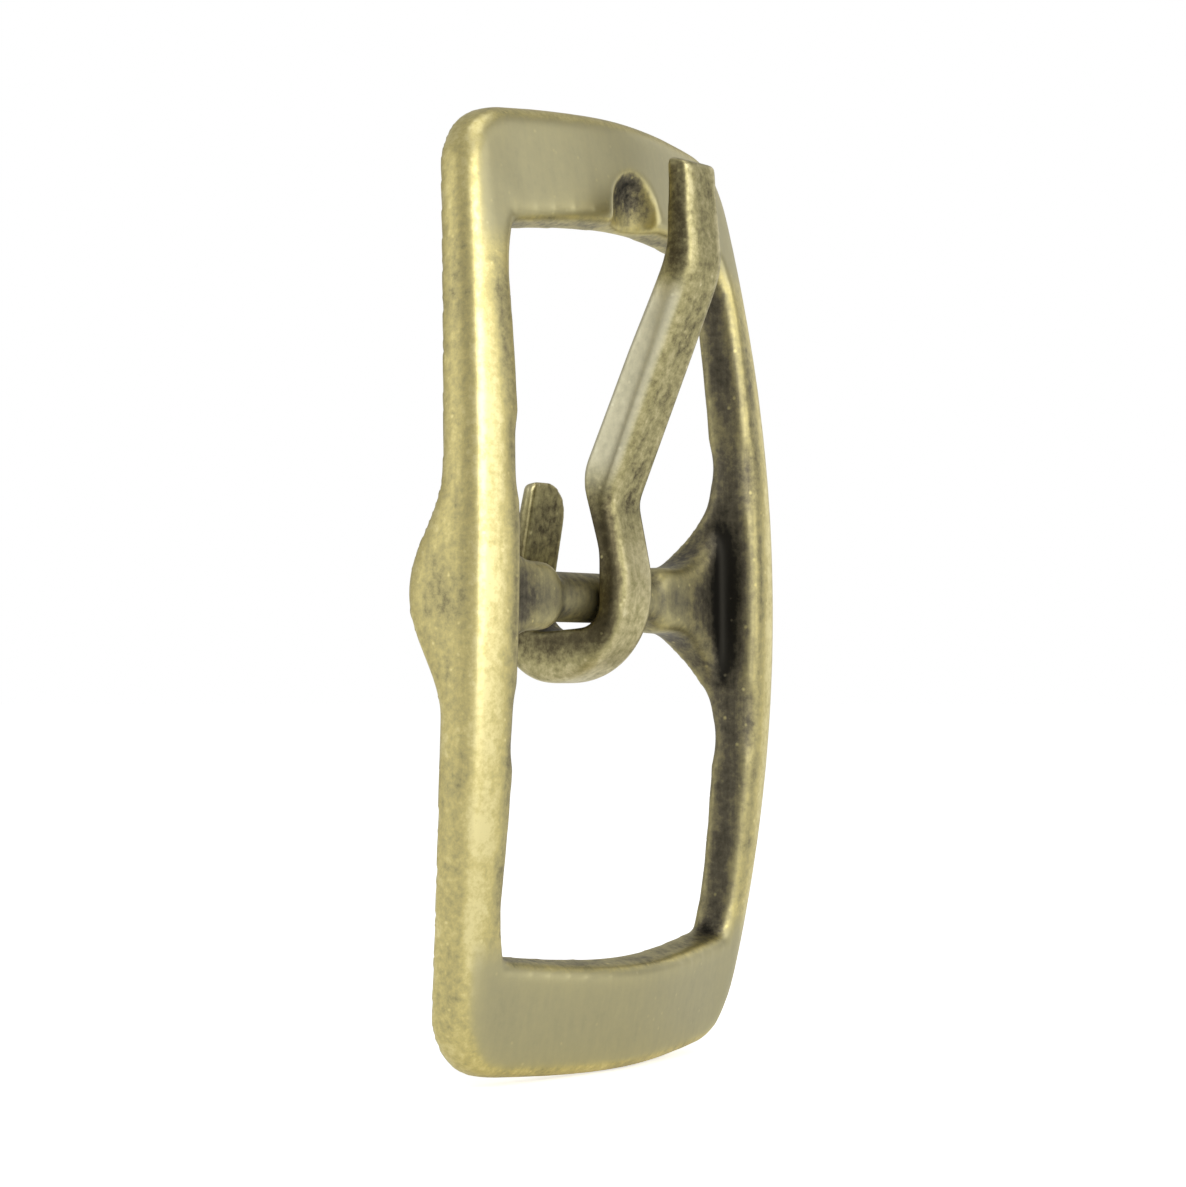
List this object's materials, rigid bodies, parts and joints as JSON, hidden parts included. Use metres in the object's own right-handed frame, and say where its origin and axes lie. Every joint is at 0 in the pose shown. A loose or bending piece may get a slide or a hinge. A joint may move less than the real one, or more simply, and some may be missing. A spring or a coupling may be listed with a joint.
{
  "type": "centre bar buckle",
  "caption": "Centre-bar strap buckle: a bowed cast frame with an integral bar and a hooked tongue that swings on it.",
  "frame": {"origin": "middle of the centre bar, on the axis that the tongue swings about", "axes": "+X along the centre bar, +Z along the buckle's length towards the end the tongue tip rests on, -Y is the face seen when worn"},
  "size_m": [0.0336, 0.0151, 0.06],
  "materials": {
    "cast_antique_brass": "antiqued and tumbled, bright on worn edges, dark in recesses",
    "wire_antique_brass": "antiqued drawn half-round wire, dark flat, rubbed crown"
  },
  "bodies": {
    "frame": {"buckle_frame": "cast_antique_brass"},
    "tongue": {"tongue": "wire_antique_brass"}
  },
  "joints": [
    {"name": "tongue_swing", "type": "hinge", "parent": "frame", "child": "tongue", "pos_m": [0, 0, 0], "axis": [1, 0, 0], "range_deg": [-7.5, 144]}
  ]
}
